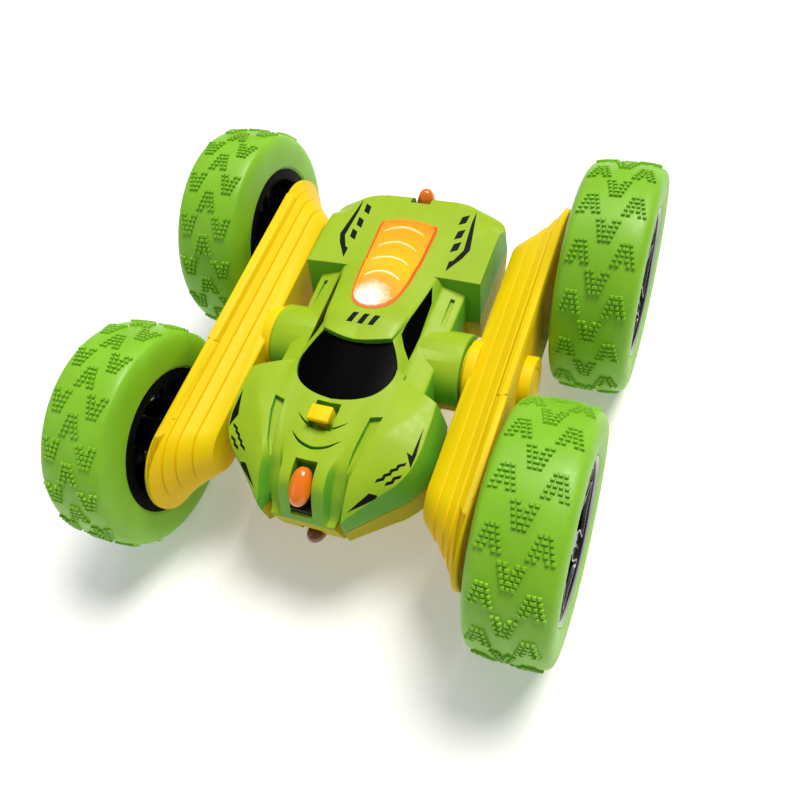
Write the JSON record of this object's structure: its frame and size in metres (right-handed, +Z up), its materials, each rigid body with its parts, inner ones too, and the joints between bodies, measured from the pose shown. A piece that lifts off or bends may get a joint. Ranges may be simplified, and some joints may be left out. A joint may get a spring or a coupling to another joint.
{
  "type": "rc stunt car",
  "caption": "Double-sided toy stunt car: a green and yellow chassis between two long rotating arms, each driving a front and a rear wheel through gears.",
  "frame": {"origin": "on the floor under the middle of the car, with all four tyres standing level", "axes": "+Y from the nose to the tail, +Z up, +X to the car's left, so the nose points along -Y"},
  "size_m": [0.1486, 0.158, 0.07],
  "materials": {
    "green_plastic": "satin gloss lime green ABS",
    "yellow_plastic": "satin gloss yellow ABS",
    "black_glazing": "high gloss black",
    "amber_lens": "translucent orange",
    "tyre_green": "soft matte green",
    "rim_black": "gloss black",
    "bright_metal": "plated",
    "motor_steel": "satin",
    "gear_nylon": "natural nylon",
    "board_laminate": "solder mask",
    "battery_wrap": "shrink wrap",
    "switch_grey": "satin"
  },
  "bodies": {
    "chassis": {"upper_shell": "green_plastic", "lower_shell": "yellow_plastic", "windshield": "black_glazing", "side_window_left": "black_glazing", "side_window_right": "black_glazing", "roof_lens": "amber_lens", "nose_lamp": "amber_lens", "tail_lamp": "amber_lens", "belly_lamp": "amber_lens", "circuit_board": "board_laminate", "battery_pack": "battery_wrap", "battery_door": "yellow_plastic", "battery_door_screw": "bright_metal", "switch_case": "switch_grey", "roof_led": "amber_lens", "shell_screw_front_left": "bright_metal", "shell_screw_front_right": "bright_metal", "shell_screw_rear_left": "bright_metal", "shell_screw_rear_right": "bright_metal"},
    "power_switch": {"switch_knob": "yellow_plastic"},
    "left_arm": {"left_arm_housing": "yellow_plastic", "left_arm_cover": "yellow_plastic", "left_drive_motor": "motor_steel", "left_pivot_retainer": "rim_black", "left_arm_screw_front": "bright_metal", "left_arm_screw_rear": "bright_metal"},
    "front_left_wheel": {"front_left_tyre": "tyre_green", "front_left_rim": "rim_black", "front_left_axle": "bright_metal", "front_left_wheel_gear": "gear_nylon"},
    "rear_left_wheel": {"rear_left_tyre": "tyre_green", "rear_left_rim": "rim_black", "rear_left_axle": "bright_metal", "rear_left_wheel_gear": "gear_nylon"},
    "left_pinion": {"left_motor_pinion": "gear_nylon"},
    "left_compound_front": {"left_compound_gear_front": "gear_nylon"},
    "left_idler_front": {"left_idler_gear_front": "gear_nylon"},
    "left_compound_rear": {"left_compound_gear_rear": "gear_nylon"},
    "left_idler_rear": {"left_idler_gear_rear": "gear_nylon"},
    "right_arm": {"right_arm_housing": "yellow_plastic", "right_arm_cover": "yellow_plastic", "right_drive_motor": "motor_steel", "right_pivot_retainer": "rim_black", "right_arm_screw_front": "bright_metal", "right_arm_screw_rear": "bright_metal"},
    "front_right_wheel": {"front_right_tyre": "tyre_green", "front_right_rim": "rim_black", "front_right_axle": "bright_metal", "front_right_wheel_gear": "gear_nylon"},
    "rear_right_wheel": {"rear_right_tyre": "tyre_green", "rear_right_rim": "rim_black", "rear_right_axle": "bright_metal", "rear_right_wheel_gear": "gear_nylon"},
    "right_pinion": {"right_motor_pinion": "gear_nylon"},
    "right_compound_front": {"right_compound_gear_front": "gear_nylon"},
    "right_idler_front": {"right_idler_gear_front": "gear_nylon"},
    "right_compound_rear": {"right_compound_gear_rear": "gear_nylon"},
    "right_idler_rear": {"right_idler_gear_rear": "gear_nylon"}
  },
  "joints": [
    {"name": "power_switch_slide", "type": "slide", "parent": "chassis", "child": "power_switch", "axis": [0, 1, 0], "range_m": [0, 0.0023]},
    {"name": "left_arm_pivot", "type": "hinge", "parent": "chassis", "child": "left_arm", "pos_m": [0, 0, 0.035], "axis": [1, 0, 0], "continuous": true},
    {"name": "front_left_wheel_spin", "type": "hinge", "parent": "left_arm", "child": "front_left_wheel", "pos_m": [-0.0625, -0.044, 0.035], "axis": [1, 0, 0], "continuous": true},
    {"name": "rear_left_wheel_spin", "type": "hinge", "parent": "left_arm", "child": "rear_left_wheel", "pos_m": [-0.0625, 0.044, 0.035], "axis": [1, 0, 0], "continuous": true},
    {"name": "left_pinion_spin", "type": "hinge", "parent": "left_arm", "child": "left_pinion", "pos_m": [-0.0438, 0, 0.035], "axis": [1, 0, 0], "continuous": true},
    {"name": "left_compound_front_spin", "type": "hinge", "parent": "left_arm", "child": "left_compound_front", "pos_m": [-0.0425, -0.015, 0.035], "axis": [1, 0, 0], "continuous": true},
    {"name": "left_idler_front_spin", "type": "hinge", "parent": "left_arm", "child": "left_idler_front", "pos_m": [-0.0405, -0.0275, 0.035], "axis": [1, 0, 0], "continuous": true},
    {"name": "left_compound_rear_spin", "type": "hinge", "parent": "left_arm", "child": "left_compound_rear", "pos_m": [-0.0425, 0.015, 0.035], "axis": [1, 0, 0], "continuous": true},
    {"name": "left_idler_rear_spin", "type": "hinge", "parent": "left_arm", "child": "left_idler_rear", "pos_m": [-0.0405, 0.0275, 0.035], "axis": [1, 0, 0], "continuous": true},
    {"name": "right_arm_pivot", "type": "hinge", "parent": "chassis", "child": "right_arm", "pos_m": [0, 0, 0.035], "axis": [1, 0, 0], "continuous": true},
    {"name": "front_right_wheel_spin", "type": "hinge", "parent": "right_arm", "child": "front_right_wheel", "pos_m": [0.0625, -0.044, 0.035], "axis": [1, 0, 0], "continuous": true},
    {"name": "rear_right_wheel_spin", "type": "hinge", "parent": "right_arm", "child": "rear_right_wheel", "pos_m": [0.0625, 0.044, 0.035], "axis": [1, 0, 0], "continuous": true},
    {"name": "right_pinion_spin", "type": "hinge", "parent": "right_arm", "child": "right_pinion", "pos_m": [0.0438, 0, 0.035], "axis": [1, 0, 0], "continuous": true},
    {"name": "right_compound_front_spin", "type": "hinge", "parent": "right_arm", "child": "right_compound_front", "pos_m": [0.0425, -0.015, 0.035], "axis": [1, 0, 0], "continuous": true},
    {"name": "right_idler_front_spin", "type": "hinge", "parent": "right_arm", "child": "right_idler_front", "pos_m": [0.0405, -0.0275, 0.035], "axis": [1, 0, 0], "continuous": true},
    {"name": "right_compound_rear_spin", "type": "hinge", "parent": "right_arm", "child": "right_compound_rear", "pos_m": [0.0425, 0.015, 0.035], "axis": [1, 0, 0], "continuous": true},
    {"name": "right_idler_rear_spin", "type": "hinge", "parent": "right_arm", "child": "right_idler_rear", "pos_m": [0.0405, 0.0275, 0.035], "axis": [1, 0, 0], "continuous": true}
  ],
  "couplings": [
    {"joint": "rear_left_wheel_spin", "follows": "front_left_wheel_spin", "ratio": 1},
    {"joint": "left_pinion_spin", "follows": "front_left_wheel_spin", "ratio": -4.95},
    {"joint": "left_compound_front_spin", "follows": "front_left_wheel_spin", "ratio": 1.8},
    {"joint": "left_idler_front_spin", "follows": "front_left_wheel_spin", "ratio": -1.2},
    {"joint": "left_compound_rear_spin", "follows": "front_left_wheel_spin", "ratio": 1.8},
    {"joint": "left_idler_rear_spin", "follows": "front_left_wheel_spin", "ratio": -1.2},
    {"joint": "rear_right_wheel_spin", "follows": "front_right_wheel_spin", "ratio": 1},
    {"joint": "right_pinion_spin", "follows": "front_right_wheel_spin", "ratio": -4.95},
    {"joint": "right_compound_front_spin", "follows": "front_right_wheel_spin", "ratio": 1.8},
    {"joint": "right_idler_front_spin", "follows": "front_right_wheel_spin", "ratio": -1.2},
    {"joint": "right_compound_rear_spin", "follows": "front_right_wheel_spin", "ratio": 1.8},
    {"joint": "right_idler_rear_spin", "follows": "front_right_wheel_spin", "ratio": -1.2}
  ]
}
